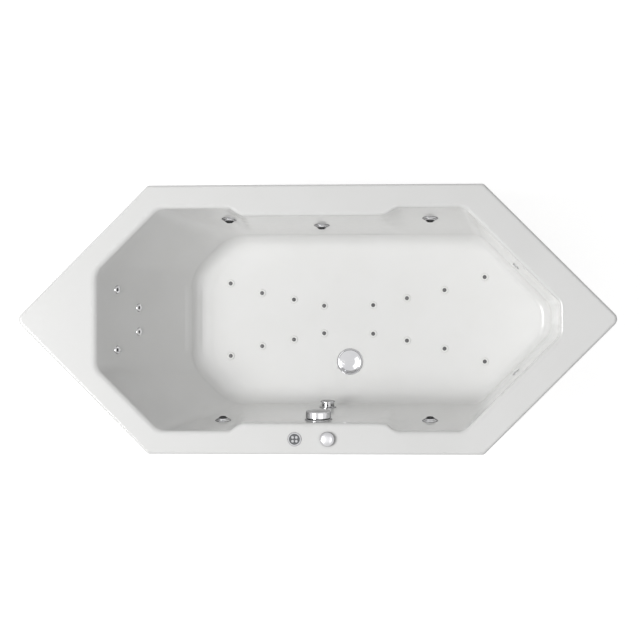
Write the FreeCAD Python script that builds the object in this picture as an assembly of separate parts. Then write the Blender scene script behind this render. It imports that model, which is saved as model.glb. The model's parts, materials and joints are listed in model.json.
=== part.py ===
import FreeCAD, Part
import math
import os
from FreeCAD import Vector, Matrix

# Jetted bath with six sides. X runs from the head end to the foot end, Y to the back edge, Z up.
# Millimetres. The origin is on the ground under the middle of the rim.

# ---- driving dimensions -------------------------------------------------------------------------
tub_length = 2000.0
tub_width = 900.0
basin_depth = 450.0
ground_gap = 68.0              # under the lowest rails
board_thickness = 15.0
tube = 30.0                    # square tube of the frame
wall = 7.0                     # acrylic with its laminate
skirt_drop = 40.0
apex_round = 26.0              # plan radius of the two pointed ends
side_round = 14.0              # plan radius of the four side corners
basin_round = 46.0             # plan radius where two basin walls meet
lip_round = 12.0               # soft edge between deck and basin
cove_rise = 46.0               # height of the curve between floor and walls
cove_steps = 5

# how far each basin wall stands in from the outer edge: at the rim, above the cove, at the floor
head_in = (261.0, 533.0, 608.0)
foot_in = (189.0, 215.0, 248.0)
side_in = (78.0, 155.0, 212.0)
near_in = (71.1, 261.1, 336.1)        # diagonals beside the backrest
far_in = (94.1, 117.1, 146.1)         # diagonals at the foot end
arm_in = 27.0                         # how far the armrests stand into the basin at the rim
arm_slant = 36.0
arm_head, arm_foot = -0.1245 * tub_length, 0.117 * tub_length

running_gap = 0.3              # between pieces that turn or slide on each other
glue_gap = 0.1                 # between pieces that are bonded or screwed together

jet_level, mid_jet_level = 0.6444, 0.5556      # heights in the basin, as shares of its depth
jet_flange_radius = 26.0
jet_ring_radius = 19.0
jet_ball_radius = 10.0
jet_stem_radius = 21.5
jet_tilt = 15.0
side_jet_rows = [("back", -0.1515, jet_level), ("arm_back", 0.004, mid_jet_level), ("back", 0.189, jet_level),
                 ("front", -0.163, jet_level), ("front", 0.1885, jet_level)]

micro_radius = 13.5
micro_stem_radius = 8.0
backrest_jets = [(102.0, 0.7956), (41.0, 0.5978)]      # distance from the middle, share of the depth
foot_jets_level = 0.4444
foot_jets_along = 0.1715 * tub_length                  # along the diagonal, from its middle line

air_cap_radius = 13.5
air_stem_radius = 9.0
# shares of the floor's length and of its half width
air_jet_row = [(0.0516, 0.534), (0.1486, 0.391), (0.2465, 0.294), (0.3392, 0.202),
               (0.4895, 0.210), (0.5927, 0.311), (0.7072, 0.429), (0.8295, 0.618)]

waste_x, waste_in = 0.0435 * tub_length, 91.0
waste_flange_radius = 46.0
plug_radius = 40.0
plug_lift = 10.0
drain_bore = 26.0
trap_reach, trap_low = 142.0, 24.0

overflow_x, overflow_level = 0.003 * tub_length, 0.8222
rosette_radius = 46.0
knob_radius = 43.0
knob_reach = 29.0

suction_x, suction_level = 0.0085 * tub_length, 0.2489
suction_radius = 29.0

deck_in = 52.0                 # controls, from the front edge
keypad_x, keypad_radius = -0.034 * tub_length, 22.5
button_radius, button_pitch, button_travel = 4.6, 12.5, 0.8
regulator_x, regulator_radius = 0.0205 * tub_length, 24.0

tube_wall = 2.0
post = 25.0
pad_thickness = 5.0
foot_pad_radius, foot_pad_height = 24.0, 10.0
stud_radius = 6.0
end_gap = 55.0                 # from the two end beams to the pointed ends
pressure_radius, air_radius, suction_pipe_radius = 16.0, 8.0, 22.0
blower_port = 44.0
loop_drop = 25.0               # from the foot's small jets down to the loop
head_lift = 42.0               # how much higher the loop runs behind the backrest
loop_in, near_loop_in, far_loop_in = 100.0, 110.0, 75.0
tray_half = 250.0

# ---- sizes that follow --------------------------------------------------------------------------
half_length = tub_length / 2
half_width = tub_width / 2
diag = math.sqrt(0.5)
cross_bottom = ground_gap
rail_bottom = cross_bottom + tube
board_bottom = rail_bottom + tube
board_top = board_bottom + board_thickness
floor_z = board_top + wall
rim_height = floor_z + basin_depth
deck_under = rim_height - wall
foot_z = floor_z + cove_rise
head_rim, head_foot, head_floor = [half_length - gap for gap in head_in]
foot_rim, foot_foot, foot_floor = [half_length - gap for gap in foot_in]
side_rim, side_foot, side_floor = [half_width - gap for gap in side_in]
near_rim, near_foot, near_floor = [half_length * diag - gap for gap in near_in]
far_rim, far_foot, far_floor = [half_length * diag - gap for gap in far_in]
arm_rim = side_rim - arm_in
side_names = ["head", "near_back", "back", "far_back", "foot", "far_front", "front", "near_front"]
side_dirs = [(-1.0, 0.0), (-diag, diag), (0.0, 1.0), (diag, diag), (1.0, 0.0), (diag, -diag), (0.0, -1.0),
             (-diag, -diag)]
side_rows = [(head_rim, head_foot, head_floor), (near_rim, near_foot, near_floor),
             (side_rim, side_foot, side_floor), (far_rim, far_foot, far_floor),
             (foot_rim, foot_foot, foot_floor), (far_rim, far_foot, far_floor),
             (side_rim, side_foot, side_floor), (near_rim, near_foot, near_floor)]
side_jets = [(name, share * tub_length, floor_z + level * basin_depth)
             for name, share, level in side_jet_rows]
foot_jets_height = floor_z + foot_jets_level * basin_depth
waste_y = waste_in - side_floor
deck_y = deck_in - half_width
rail_y = side_floor - 38.0
post_y = half_width - 40.5
foot_y = half_width - 100.0
cross_rail_x = [half_width + 120.0 - half_length, 0.155 * tub_length, half_length - half_width - 30.0]
end_reach = half_length - end_gap
blower_x = 170.0 - half_length
loop_level = foot_jets_height - loop_drop
far_line = half_length - far_loop_in       # x + y of the loop along the foot diagonals
lip_steps = [(rim_height - lip_round * (1.0 - rise), lip_round * out)
             for rise, out in ((0.4, 0.09), (0.75, 0.35), (1.0, 1.0))]
nodes = {}


def add(name, *solids):
    for solid in solids:
        nodes.setdefault(name, []).extend(solid.Solids)


def meet(a, d1, b, d2):
    det = a[0] * b[1] - a[1] * b[0]
    return ((d1 * b[1] - a[1] * d2) / det, (a[0] * d2 - d1 * b[0]) / det)


def outline(dirs, offsets):
    """Corners of a closed shape given by the direction and the distance of each side."""
    count = len(dirs)
    return [meet(dirs[i], offsets[i], dirs[(i + 1) % count], offsets[(i + 1) % count]) for i in range(count)]


def round_wire(points, radii, z):
    """Closed wire at height z with each corner rounded by its own radius."""
    count = len(points)
    marks = []
    for i in range(count):
        p = Vector(points[i][0], points[i][1], z)
        before = Vector(points[i - 1][0], points[i - 1][1], z) - p
        after = Vector(points[(i + 1) % count][0], points[(i + 1) % count][1], z) - p
        before.normalize()
        after.normalize()
        half = before.getAngle(after) / 2
        reach = radii[i] / math.tan(half)
        middle = before + after
        middle.normalize()
        centre = p + middle * (radii[i] / math.sin(half))
        marks.append((p + before * reach, centre - middle * radii[i], p + after * reach))
    edges = []
    for i in range(count):
        start, top, end = marks[i]
        edges.append(Part.Arc(start, top, end).toShape())
        edges.append(Part.makeLine(end, marks[(i + 1) % count][0]))
    return edges


def layers(rings):
    """Solid between closed outlines of matching lines and arcs, with flat faces between the lines."""
    faces = [Part.Face(Part.Wire(rings[0])), Part.Face(Part.Wire(rings[-1]))]
    for low, high in zip(rings, rings[1:]):
        for a, b in zip(low, high):
            if a.Curve.TypeId == "Part::GeomLine":
                points = [a.valueAt(a.FirstParameter), a.valueAt(a.LastParameter),
                          b.valueAt(b.LastParameter), b.valueAt(b.FirstParameter)]
                faces.append(Part.Face(Part.makePolygon(points + [points[0]])))
            else:
                faces.append(Part.makeRuledSurface(a, b))
    shell = Part.Shell(faces)
    shell.sewShape()
    solid = Part.Solid(shell)
    if solid.Volume < 0:
        solid.reverse()
    return solid


def basin_offsets(z, grow):
    rows = []
    for rim, foot, floor in side_rows:
        if z >= foot_z:
            rows.append(foot + (rim - foot) * (z - foot_z) / (rim_height - foot_z) + grow)
        else:
            turn = math.acos(max(-1.0, 1.0 - (z - floor_z) / cove_rise * (1.0 - math.cos(math.radians(78)))))
            rows.append(floor + (foot - floor) * math.sin(turn) / math.sin(math.radians(78)) + grow)
    return rows


def basin_wire(z, grow, lift=0.0, out=0.0):
    points = outline(side_dirs, basin_offsets(z, grow + out))
    return round_wire(points, [basin_round + grow + out] * 8, z + lift)


def basin_cove(grow, drop):
    """Outlines from the floor to the foot of the walls, lowered by the drop at the floor."""
    wires = []
    for step in range(cove_steps + 1):
        turn = math.radians(78) * step / cove_steps
        z = floor_z + cove_rise * (1.0 - math.cos(turn)) / (1.0 - math.cos(math.radians(78)))
        wires.append(basin_wire(z, grow, -drop * (1.0 - step / cove_steps)))
    return wires


def armrest(side, grow):
    """Wedge that stands into the basin, full at the rim and gone at the cove."""
    margin = 30.0
    lean = arm_slant / (side_rim - arm_rim)
    rings = []
    for z, out in [(foot_z, 0.0), (rim_height - lip_round, 0.0)] + lip_steps + [
            (rim_height + margin, lip_round)]:
        share = min(1.0, (z - foot_z) / (rim_height - foot_z))
        face = side_foot + (arm_rim - side_foot) * share + grow + out
        back = side_foot + (side_rim - side_foot) * share + grow + out + margin
        run = lean * (back - face)
        head = arm_head + arm_slant * (2.0 - share) + out / 2
        foot = arm_foot - arm_slant * (2.0 - share) - out / 2
        row = [(head - run, back), (head, face), (foot, face), (foot + run, back)]
        ring = [Vector(x, side * y, z) for x, y in row]
        rings.append([Part.makeLine(a, b) for a, b in zip(ring, ring[1:] + [ring[0]])])
    return layers(rings)


def hexagon(inset, z):
    half = tub_width / 2 - inset
    apex = tub_length / 2 + apex_round * (math.sqrt(2) - 1.0) - inset * math.sqrt(2)
    points = [(-apex, 0.0), (-(apex - half), half), (apex - half, half), (apex, 0.0), (apex - half, -half),
              (-(apex - half), -half)]
    tight = max(4.0, side_round - inset)
    blunt = max(6.0, apex_round - inset)
    return round_wire(points, [blunt, tight, tight, blunt, tight, tight], z)


def lathe(profile):
    ring = [Vector(r, 0, z) for r, z in profile]
    face = Part.Face(Part.makePolygon(ring + [ring[0]]))
    return face.revolve(Vector(0, 0, 0), Vector(0, 0, 1), 360)


def bar(x0, x1, y0, y1, z0, z1):
    return Part.makeBox(x1 - x0, y1 - y0, z1 - z0, Vector(x0, y0, z0))


def rod(radius, start, end):
    run = end - start
    return Part.makeCylinder(radius, run.Length, start, run)


def turned(shape, origin, axis, spin=0.0):
    """Moves a shape made along Z so that Z points along the axis and its X stays level."""
    z = Vector(axis)
    z.normalize()
    level = Vector(0, 0, 1).cross(z)
    x = level.normalize() if level.Length > 1e-6 else Vector(1, 0, 0)
    y = z.cross(x)
    frame = Matrix(x.x, y.x, z.x, origin.x, x.y, y.y, z.y, origin.y, x.z, y.z, z.z, origin.z, 0, 0, 0, 1)
    done = shape.copy()
    if spin:
        done.rotate(Vector(0, 0, 0), Vector(0, 0, 1), spin)
    done.transformShape(frame)
    return done


def wall_spot(name, along, height):
    """Point on the inside of a basin wall and the direction that looks into the bath."""
    if name.startswith("arm_"):
        direction = side_dirs[side_names.index(name[4:])]
        rim, foot = arm_rim, side_foot
    else:
        direction = side_dirs[side_names.index(name)]
        rim, foot = side_rows[side_names.index(name)][0:2]
    slope = (rim - foot) / (rim_height - foot_z)
    reach = foot + slope * (height - foot_z)
    normal = Vector(-direction[0], -direction[1], slope)
    normal.normalize()
    if abs(direction[1]) > 0.9:
        return Vector(along, direction[1] * reach, height), normal
    across = Vector(-direction[1], direction[0], 0) * along
    return Vector(direction[0] * reach, direction[1] * reach, height) + across, normal


def run_wire(points, bend):
    """Straight runs joined by arcs."""
    spots = [Vector(*p) for p in points]
    edges = []
    last = spots[0]
    for i in range(1, len(spots) - 1):
        before = (spots[i - 1] - spots[i]).normalize()
        after = (spots[i + 1] - spots[i]).normalize()
        half = before.getAngle(after) / 2
        if half > math.radians(89.5):
            continue
        reach = bend / math.tan(half)
        middle = (before + after).normalize()
        top = spots[i] + middle * (bend / math.sin(half) - bend)
        start = spots[i] + before * reach
        end = spots[i] + after * reach
        edges.append(Part.makeLine(last, start))
        edges.append(Part.Arc(start, top, end).toShape())
        last = end
    edges.append(Part.makeLine(last, spots[-1]))
    return Part.Wire(edges)


def pipe(points, radius, bend):
    spine = run_wire(points, bend)
    first = Vector(*points[1]) - Vector(*points[0])
    ring = Part.Wire(Part.makeCircle(radius, Vector(*points[0]), first))
    return spine.makePipeShell([ring], True, False)


def square_tube(x0, x1, y0, y1, z0, z1):
    """Hollow square tube, open at the ends of its longest side."""
    spans = [x1 - x0, y1 - y0, z1 - z0]
    inset = [0.0 if span == max(spans) else tube_wall for span in spans]
    inner = bar(x0 + inset[0], x1 - inset[0], y0 + inset[1], y1 - inset[1], z0 + inset[2], z1 - inset[2])
    return bar(x0, x1, y0, y1, z0, z1).cut(inner)


def fused(shapes):
    return shapes[0].fuse(shapes[1:]).removeSplitter() if len(shapes) > 1 else shapes[0]


# ---- the acrylic shell ---------------------------------------------------------------------------
def hollow():
    wires = basin_cove(0.0, 0.0) + [basin_wire(rim_height - lip_round, 0.0)]
    wires += [basin_wire(min(z, rim_height), 0.0, 0.0, out) for z, out in lip_steps]
    wires.append(basin_wire(rim_height, 0.0, 30.0, lip_round))
    space = layers(wires)
    for side in (1, -1):
        space = space.cut(armrest(side, 0.0))
    return space


def outside():
    top = rim_height - wall / 2
    body = layers(basin_cove(wall, wall) + [basin_wire(top, wall)])
    for side in (1, -1):
        body = body.cut(armrest(side, wall))
    return body


def rim_cap():
    edge = [(0.0, rim_height - skirt_drop), (1.0, rim_height - 10.0), (2.6, rim_height - 4.6),
            (5.4, rim_height - 1.4), (10.0, rim_height)]
    full = layers([hexagon(inset, z) for inset, z in edge])
    inner = layers([hexagon(wall, rim_height - skirt_drop - 1.0), hexagon(wall + 1.0, deck_under)])
    return full.cut(inner)


def spots():
    """Every hole through the shell: point on the inside, axis into the bath, radius."""
    rows = []
    for name, along, height in side_jets:
        rows.append(wall_spot(name, along, height) + (jet_stem_radius,))
    for point, axis in micro_spots():
        rows.append((point, axis, micro_stem_radius))
    for x, y in air_spots():
        rows.append((Vector(x, y, floor_z), Vector(0, 0, 1), air_stem_radius + glue_gap))
    rows.append((Vector(waste_x, waste_y, floor_z), Vector(0, 0, 1), drain_bore + 6.0))
    rows.append(overflow_spot() + (rosette_radius - 14.0,))
    rows.append(suction_spot() + (suction_radius - 7.0,))
    rows.append((Vector(keypad_x, deck_y, rim_height), Vector(0, 0, 1), keypad_radius - 4.0))
    rows.append((Vector(regulator_x, deck_y, rim_height), Vector(0, 0, 1), regulator_radius - 8.0))
    return rows


def micro_spots():
    rows = []
    for half, level in backrest_jets:
        slope = (head_rim - head_foot) / (rim_height - foot_z)
        height = floor_z + level * basin_depth
        reach = head_foot + slope * (height - foot_z)
        normal = Vector(1, 0, slope).normalize()
        for y in (half, -half):
            rows.append((Vector(-reach, y, height), normal))
    for name, turn in (("far_back", 1), ("far_front", -1)):
        rows.append(wall_spot(name, -turn * foot_jets_along, foot_jets_height))
    return rows


def air_spots():
    return [(x, turn * y) for turn in (1, -1) for x, y in air_row()]


def air_row():
    """One row of the floor's air jets, from the head end."""
    return [(a * (head_floor + foot_floor) - head_floor, b * side_floor) for a, b in air_jet_row]


def overflow_spot():
    return wall_spot("arm_front", overflow_x, floor_z + overflow_level * basin_depth)


def suction_spot():
    return wall_spot("arm_front", suction_x, floor_z + suction_level * basin_depth)


def tub_shell():
    shell = rim_cap().fuse(outside()).cut(hollow())
    drills = [rod(radius, point - axis * 40, point + axis * 12) for point, axis, radius in spots()]
    return shell.cut(drills)


# ---- side jets -----------------------------------------------------------------------------------
def jet_parts():
    back = -wall
    r = jet_flange_radius
    inner = jet_ring_radius + running_gap
    flange = lathe([(inner, 0.0), (r, 0.0), (r, 1.2), (r - 1.5, 3.2), (r - 4.0, 4.2), (inner, 4.2)])
    sleeve = lathe([(jet_ring_radius - 1.0, -24.0), (jet_stem_radius - glue_gap, -24.0),
                    (jet_stem_radius - glue_gap, 0.0), (inner, 0.0), (inner, -7.0),
                    (jet_ring_radius - 1.0, -7.0)])
    sleeve = fused([flange, sleeve])
    gasket = lathe([(jet_stem_radius, back - 2.0), (r + 2.0, back - 2.0), (r + 2.0, back),
                    (jet_stem_radius, back)])
    ball = jet_ball_radius
    seat = ball + running_gap
    ring = lathe([(ball - 1.6, -6.6), (jet_ring_radius, -6.6), (jet_ring_radius, 4.6),
                  (jet_ring_radius - 3.0, 8.0), (seat, 9.0), (ball - 1.2, 8.4), (ball - 1.2, 7.9),
                  (seat, 6.0),
                  (seat, -3.4), (ball - 1.6, -5.6)])
    rows = [(math.sqrt(ball ** 2 - (z - 2.0) ** 2), z) for z in (-4.5, -2.0, 0.5, 3.5, 6.0, 8.2, 9.5)]
    nozzle = lathe([(4.2, -4.5)] + rows + [(4.2, 9.5)])
    return sleeve, gasket, ring, nozzle


def jet_housing(down):
    """Body behind the wall: threaded cup, water port that looks down, air port that looks up."""
    back = -wall - 2.0
    outer = jet_stem_radius + 3.5
    flat = outer / math.cos(math.pi / 6) + 1.5
    hexes = [Vector(flat * math.cos(k * math.pi / 3), flat * math.sin(k * math.pi / 3), back)
             for k in range(6)]
    nut = Part.Face(Part.makePolygon(hexes + [hexes[0]])).extrude(Vector(0, 0, -9))
    cup = Part.makeCylinder(outer, 34.0, Vector(0, 0, back - 34.0))
    body = nut.fuse(cup)
    port = rod(pressure_radius - 1.0, Vector(0, 0, back - 20), Vector(0, 0, back - 20) + down * (outer + 14))
    air = rod(air_radius, Vector(0, 0, back - 20), Vector(0, 0, back - 20) - down * (outer + 10))
    body = body.fuse([port, air])
    cups = [Part.makeCylinder(jet_stem_radius, 26.0, Vector(0, 0, back - 26.0))]
    cups.append(rod(pressure_radius - 4.0, Vector(0, 0, back - 20),
                    Vector(0, 0, back - 20) + down * (outer + 20)))
    cups.append(rod(air_radius - 3.0, Vector(0, 0, back - 20), Vector(0, 0, back - 20) - down * (outer + 20)))
    return body.cut(cups)


def side_jet_set():
    sleeve, gasket, ring, nozzle = jet_parts()
    housing = jet_housing(Vector(0, -1, 0))
    for number, (name, along, height) in enumerate(side_jets, 1):
        point, axis = wall_spot(name, along, height)
        add("jet_flanges", turned(sleeve, point, axis))
        add("rubber_gaskets", turned(gasket, point, axis))
        add("jet_housings", turned(housing, point, axis))
        add("jet_ring_%d" % number, turned(ring, point, axis))
        add("jet_nozzle_%d" % number, turned(nozzle, point, axis))


# ---- micro jets ----------------------------------------------------------------------------------
def micro_jet_set():
    r = micro_radius
    stem = micro_stem_radius
    flange = lathe([(4.2, -18.0), (stem - glue_gap, -18.0), (stem - glue_gap, 0.0), (r, 0.0), (r - 1.5, 2.6),
                    (6.0, 3.0), (4.2, 1.0)])
    nozzle = lathe([(1.4, -12.0), (4.1, -12.0), (4.1, 1.4), (3.0, 2.2), (1.4, 1.6)])
    back = -wall
    housing = lathe([(stem, back), (stem + 5.0, back), (stem + 5.0, back - 7.0), (stem + 2.0, back - 7.0),
                     (stem + 2.0, back - 24.0), (air_radius - 2.0, back - 30.0),
                     (air_radius - 2.0, back - 44.0),
                     (3.0, back - 44.0), (3.0, back - 20.0), (stem, back - 20.0)])
    for point, axis in micro_spots():
        add("micro_jet_flanges", turned(flange, point, axis))
        add("micro_jet_nozzles", turned(nozzle, point, axis))
        add("micro_jet_housings", turned(housing, point, axis))


# ---- air jets in the floor -----------------------------------------------------------------------
def air_jet_set():
    stem = air_stem_radius
    low = rail_bottom + tube - 13.0
    cap = lathe([(7.0, board_top - 8.0), (stem, board_top - 8.0), (stem, floor_z), (air_cap_radius, floor_z),
                 (air_cap_radius - 1.6, floor_z + 2.2), (7.0, floor_z + 2.2)])
    valve = lathe([(0.0, board_top - 8.0), (7.0 - glue_gap, board_top - 8.0), (7.0 - glue_gap, floor_z + 0.6),
                   (0.0, floor_z + 1.4)])
    body = lathe([(0.0, low), (stem + 3.0, low), (stem + 3.0, board_top), (stem + glue_gap, board_top),
                  (stem + glue_gap, board_top - 10.0), (0.0, board_top - 10.0)])
    for x, y in air_spots():
        here = Vector(x, y, 0)
        for name, shape in (("air_jet_caps", cap), ("air_jet_valves", valve), ("air_jet_bodies", body)):
            add(name, shape.translated(here))


def air_channel_level():
    return rail_bottom + tube - 13.0 - air_radius


# ---- waste, plug and trap ------------------------------------------------------------------------
def waste_set():
    here = Vector(waste_x, waste_y, 0)
    r = waste_flange_radius
    b = drain_bore
    flange = lathe([(b, board_bottom - 4.0), (b + 5.0, board_bottom - 4.0), (b + 5.0, floor_z), (r, floor_z),
                    (r - 3.0, floor_z + 2.4), (b + 5.0, floor_z + 1.0), (b, floor_z - 4.0)])
    low = board_bottom - 16.0
    cross = fused([bar(-b - 1, b + 1, -2, 2, low + 6.0, low + 12.0),
                   bar(-2, 2, -b - 1, b + 1, low + 6.0, low + 12.0),
                   Part.makeCylinder(9.0, 12.0, Vector(0, 0, low))])
    guide = Part.makeCylinder(4.0 + running_gap, 40.0, Vector(0, 0, low - 12.0))
    flange = fused([flange, lathe([(b - 2, low), (b + 5.0, low), (b + 5.0, board_bottom - 4.0),
                                   (b - 2, board_bottom - 4.0)]), cross]).cut(guide)
    plug = lathe([(0.0, low - 8.0), (4.0, low - 8.0), (4.0, floor_z + 2.0), (b - 3.0, floor_z + 2.6),
                  (plug_radius - 4.0, floor_z + 3.0), (plug_radius, floor_z + 4.0),
                  (plug_radius - 1.0, floor_z + 6.0),
                  (plug_radius - 8.0, floor_z + 8.6), (plug_radius - 22.0, floor_z + 10.4),
                  (0.0, floor_z + 11.0)])
    gasket = lathe([(b + 6.0, board_bottom - 3.0), (r + 1.0, board_bottom - 3.0), (r + 1.0, board_bottom),
                    (b + 6.0, board_bottom)])
    top = board_bottom - 3.0
    outer = b + 9.0
    cup = board_bottom - 60.0
    port = side_port_z()
    body = lathe([(b + 5.0, top), (r + 1.0, top), (r + 1.0, top - 6.0), (outer, top - 6.0),
                  (outer, cup - 2.0),
                  (22.0, cup - 8.0), (22.0, cup - 16.0), (19.0, cup - 16.0), (19.0, cup - 6.0),
                  (b + 5.0, cup)])
    side = rod(17.0, Vector(0, -b, port), Vector(0, -b - 26.0, port))
    hollow_side = rod(14.0, Vector(0, -b - 4, port), Vector(0, -b - 30.0, port))
    body = body.fuse(side).cut(hollow_side)
    body = body.cut(Part.makeCylinder(b + 5.0, top - cup, Vector(0, 0, cup)))
    add("waste_flange", flange.translated(here))
    add("waste_plug", plug.translated(here))
    add("rubber_gaskets", gasket.translated(here))
    add("waste_body", body.translated(here))
    inlet, turn_x, end_x = cup - 12.0, waste_x + 74.0, waste_x + trap_reach
    trap = pipe([(waste_x, waste_y, inlet), (waste_x, waste_y, trap_low), (turn_x, waste_y, trap_low),
                 (turn_x, waste_y, trap_low + 38.0), (end_x, waste_y, trap_low + 38.0)], 18.9, 20.0)
    bore = pipe([(waste_x, waste_y, inlet + 6.0), (waste_x, waste_y, trap_low), (turn_x, waste_y, trap_low),
                 (turn_x, waste_y, trap_low + 38.0), (end_x + 1.0, waste_y, trap_low + 38.0)], 16.0, 20.0)
    add("waste_trap", trap.cut(bore))


def side_port_z():
    """Height at which the overflow's pipe enters the waste body."""
    return board_bottom - 46.0


# ---- overflow ------------------------------------------------------------------------------------
def overflow_set():
    point, axis = overflow_spot()
    back = -wall
    neck = rosette_radius - 14.0 - glue_gap
    rosette = lathe([(7.0 + running_gap, 0.0), (rosette_radius, 0.0), (rosette_radius, 1.5),
                     (rosette_radius - 2.5, 3.5), (7.0 + running_gap, 3.5)])
    collar = lathe([(neck - 4.0, -22.0), (neck, -22.0), (neck, 0.0), (neck - 4.0, 0.0)])
    knob = lathe([(0.0, -20.0), (7.0, -20.0), (7.0, 4.5), (knob_radius - 3.0, 4.5), (knob_radius, 7.5),
                  (knob_radius - 0.6, knob_reach - 3.0), (knob_radius - 3.0, knob_reach),
                  (0.0, knob_reach + 1.5)])
    grip = [rod(9.0, Vector(0, 0, 0), Vector(0, 0, 60)).translated(Vector(turn * (knob_radius + 4.0), 0, 0))
            for turn in (1, -1)]
    knob = knob.cut(grip)
    gasket = lathe([(neck + 1.0, back - 3.0), (neck + 8.0, back - 3.0), (neck + 8.0, back),
                    (neck + 1.0, back)])
    cup = lathe([(0.0, -48.0), (neck + 8.0, -48.0), (neck + 8.0, back - 3.0), (neck + glue_gap, back - 3.0),
                 (neck + glue_gap, -45.0), (0.0, -45.0)])
    spout = rod(17.0, Vector(0, 0, -30.0), Vector(0, -neck - 22.0, -30.0))
    cup = cup.fuse(spout)
    cup = cup.cut([rod(14.0, Vector(0, -4, -30.0), Vector(0, -neck - 30.0, -30.0)),
                   Part.makeCylinder(neck + glue_gap, 40.0, Vector(0, 0, -45.0))])
    add("overflow_rosette", turned(fused([rosette, collar]), point, axis))
    add("overflow_knob", turned(knob, point, axis))
    add("rubber_gaskets", turned(gasket, point, axis))
    add("overflow_elbow", turned(cup, point, axis))
    down = Vector(axis)
    level = Vector(0, 0, 1).cross(down).normalize()
    low = down.cross(level) * -1
    start = point + axis * -30.0 + low * (neck + 14.0)
    way = [start, start + low * 34.0, Vector(waste_x, start.y, point.z - 120.0),
           Vector(waste_x, start.y, side_port_z()),
           Vector(waste_x, waste_y - drain_bore - 6.0, side_port_z())]
    way = as_rows(way)
    add("overflow_pipe", pipe(way, 13.9, 24.0))


# ---- suction fitting -----------------------------------------------------------------------------
def suction_set():
    point, axis = suction_spot()
    r = suction_radius
    stem = r - 7.0 - glue_gap
    depth = suction_pipe_radius + 12.0
    cover = lathe([(0.0, 0.0), (r, 0.0), (r, 1.6), (r - 2.0, 2.8), (r - 8.0, 3.2), (r - 8.0, 19.0),
                   (r - 4.0, 19.0), (r - 4.0, 21.4), (r - 6.0, 23.0), (r - 14.0, 24.6), (0.0, 25.0)])
    cover = cover.cut(Part.makeCylinder(r - 11.0, 16.0, Vector(0, 0, -1.0)))
    cover = cover.cut([bar(-3.0, 3.0, -r, r, 6.0, 14.0).rotated(Vector(), Vector(0, 0, 1), 45.0 * k)
                       for k in range(4)])
    sleeve = lathe([(r - 11.0, -30.0), (stem, -30.0), (stem, 0.0), (r - 11.0, 0.0)])
    cup = lathe([(0.0, -depth - 24.0), (r + 1.0, -depth - 24.0), (r + 1.0, -wall), (stem + glue_gap, -wall),
                 (stem + glue_gap, -depth - 21.0), (0.0, -depth - 21.0)])
    spout = rod(suction_pipe_radius + 3.0, Vector(0, 0, -depth), Vector(r + 22.0, 0, -depth))
    cup = cup.fuse(spout).cut([rod(suction_pipe_radius - 3.0, Vector(0, 0, -depth),
                                   Vector(r + 30.0, 0, -depth)),
                               rod(suction_pipe_radius, Vector(r + 6.0, 0, -depth),
                                   Vector(r + 30.0, 0, -depth)),
                               Part.makeCylinder(stem + glue_gap, depth + 21.0, Vector(0, 0, -depth - 21.0))])
    add("suction_cover", turned(fused([cover, sleeve]), point, axis))
    add("suction_body", turned(cup, point, axis))
    level = Vector(0, 0, 1).cross(axis).normalize()
    return point - axis * depth + level * (r + 6.0)


# ---- controls in the deck ------------------------------------------------------------------------
def keypad_set():
    here = Vector(keypad_x, deck_y, rim_height)
    r = keypad_radius
    bezel = lathe([(r - 4.5, 0.0), (r, 0.0), (r, 1.6), (r - 1.4, 3.0), (r - 4.5, 3.0)])
    face = Part.makeCylinder(r - 4.5, 15.0, Vector(0, 0, -13.0))
    centres = [Vector(dx * button_pitch / 2, dy * button_pitch / 2, 0) for dx in (-1, 1) for dy in (-1, 1)]
    wells = [Part.makeCylinder(button_radius + running_gap, 6.0, Vector(c.x, c.y, -1.5)) for c in centres]
    face = face.cut(wells)
    nut = lathe([(r - 4.5, -13.0), (r + 2.0, -13.0), (r + 2.0, -wall), (r - 4.5, -wall)])
    add("keypad_bezel", bezel.translated(here))
    add("keypad_body", face.translated(here))
    add("keypad_body", nut.translated(here))
    for number, centre in enumerate(centres, 1):
        button = lathe([(0.0, -1.5 + button_travel + 0.1), (button_radius, -1.5 + button_travel + 0.1),
                        (button_radius, 3.2), (button_radius - 1.0, 4.0), (0.0, 4.0)])
        add("keypad_button_%d" % number, button.translated(here + centre))


def regulator_set():
    here = Vector(regulator_x, deck_y, rim_height)
    r = regulator_radius
    hole = r - 8.0
    knob = lathe([(0.0, -12.0), (6.0, -12.0), (6.0, 4.0), (r - 2.0, 4.0), (r, 6.0), (r, 10.0),
                  (r - 2.0, 14.0),
                  (r - 7.0, 18.0), (r - 14.0, 20.0), (0.0, 20.5)])
    base = lathe([(6.0 + running_gap, -14.0), (hole - glue_gap, -14.0), (hole - glue_gap, 0.0), (r, 0.0),
                  (r, 1.6),
                  (r - 1.4, 3.0), (6.0 + running_gap, 3.0)])
    body = lathe([(0.0, -34.0), (hole + 5.0, -34.0), (hole + 5.0, -wall), (hole, -wall), (hole, -14.0),
                  (0.0, -14.0)])
    body = body.cut(Part.makeCylinder(7.0, 10.0, Vector(0, 0, -40.0)))
    add("regulator_knob", knob.translated(here))
    add("regulator_base", base.translated(here))
    add("regulator_body", body.translated(here))


# ---- frame ---------------------------------------------------------------------------------------
def floor_plate(inset, z0, z1):
    points = outline(side_dirs, [offset - inset for offset in basin_offsets(floor_z, 0.0)])
    return Part.Face(Part.Wire(round_wire(points, [20.0] * 8, z0))).extrude(Vector(0, 0, z1 - z0))


def post_rows():
    rows = []
    for x in cross_rail_x:
        rows += [(x, post_y), (x, -post_y)]
    return rows


def foot_spots():
    rows = []
    for x in cross_rail_x:
        rows += [(x, foot_y, cross_bottom), (x, -foot_y, cross_bottom)]
    return rows + [(-end_reach + 30.0, 0.0, rail_bottom), (end_reach - 30.0, 0.0, rail_bottom)]


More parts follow.
